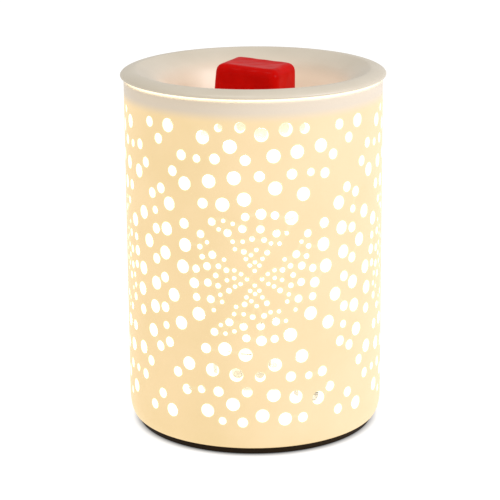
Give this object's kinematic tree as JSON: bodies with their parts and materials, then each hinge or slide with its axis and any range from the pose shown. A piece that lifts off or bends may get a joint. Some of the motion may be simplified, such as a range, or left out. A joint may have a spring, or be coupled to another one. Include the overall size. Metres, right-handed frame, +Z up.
{
  "type": "wax warmer",
  "caption": "Lamp-heated ceramic wax warmer: perforated cylinder with a lift-off dish, a wax melt and a twist-lock reflector lamp inside.",
  "frame": {"origin": "on the surface the feet stand on, under the centre of the round body", "axes": "+Z up along the body's axis; -Y the front, +Y the rear with the cable gland; +X to the right seen from the front"},
  "size_m": [0.109, 0.109, 0.152],
  "materials": {
    "ivory_ceramic": "satin ivory glaze",
    "white_porcelain": "unglazed white porcelain",
    "dark_enamel": "satin black-brown enamel",
    "grey_silicone": "matt silicone sheet",
    "black_rubber": "matt",
    "zinc_steel": "bright zinc plate",
    "spring_brass": "rolled strip",
    "nickel_plate": "satin nickel plate",
    "natural_nylon": "moulded nylon",
    "heatproof_lead": "braided heatproof sleeve over silicone",
    "mirrored_glass": "thin gold-toned reflector coating on pressed glass",
    "clear_glass": "clear",
    "tungsten": "glowing wire",
    "red_wax": "smooth dyed wax, softly glossy"
  },
  "bodies": {
    "warmer_body": {"ceramic_shell": "ivory_ceramic", "base_plate": "dark_enamel", "base_gasket": "grey_silicone", "bracket_pad_left": "grey_silicone", "bracket_pad_right": "grey_silicone", "foot_1": "black_rubber", "foot_2": "black_rubber", "foot_3": "black_rubber", "foot_4": "black_rubber", "cord_grommet": "black_rubber", "lamp_bracket": "zinc_steel", "clamp_screw_left": "zinc_steel", "clamp_screw_right": "zinc_steel", "clamp_nut_left": "zinc_steel", "clamp_nut_right": "zinc_steel", "holder_screw_left": "zinc_steel", "holder_screw_right": "zinc_steel", "block_screw": "zinc_steel", "terminal_screw_left_front": "zinc_steel", "terminal_screw_left_rear": "zinc_steel", "terminal_screw_right_front": "zinc_steel", "terminal_screw_right_rear": "zinc_steel", "contact_left": "spring_brass", "contact_right": "spring_brass", "lampholder_body": "white_porcelain", "lampholder_cover": "white_porcelain", "terminal_block": "natural_nylon", "lead_left": "heatproof_lead", "lead_right": "heatproof_lead"},
    "lamp": {"bulb_reflector": "mirrored_glass", "bulb_lens": "clear_glass", "bulb_cap": "white_porcelain", "halogen_capsule": "clear_glass", "filament": "tungsten", "bulb_pin_left": "nickel_plate", "bulb_pin_right": "nickel_plate"},
    "dish": {"dish": "ivory_ceramic"},
    "wax": {"wax_melt": "red_wax"}
  },
  "joints": [
    {"name": "dish_lift", "type": "slide", "parent": "warmer_body", "child": "dish", "axis": [0, 0, 1], "range_m": [0, 0.05]},
    {"name": "wax_lift", "type": "slide", "parent": "dish", "child": "wax", "axis": [0, 0, 1], "range_m": [0, 0.04]},
    {"name": "lamp_twist", "type": "hinge", "parent": "warmer_body", "child": "lamp", "pos_m": [0, 0, 0.043], "axis": [0, 0, 1], "range_deg": [0, 20]}
  ]
}
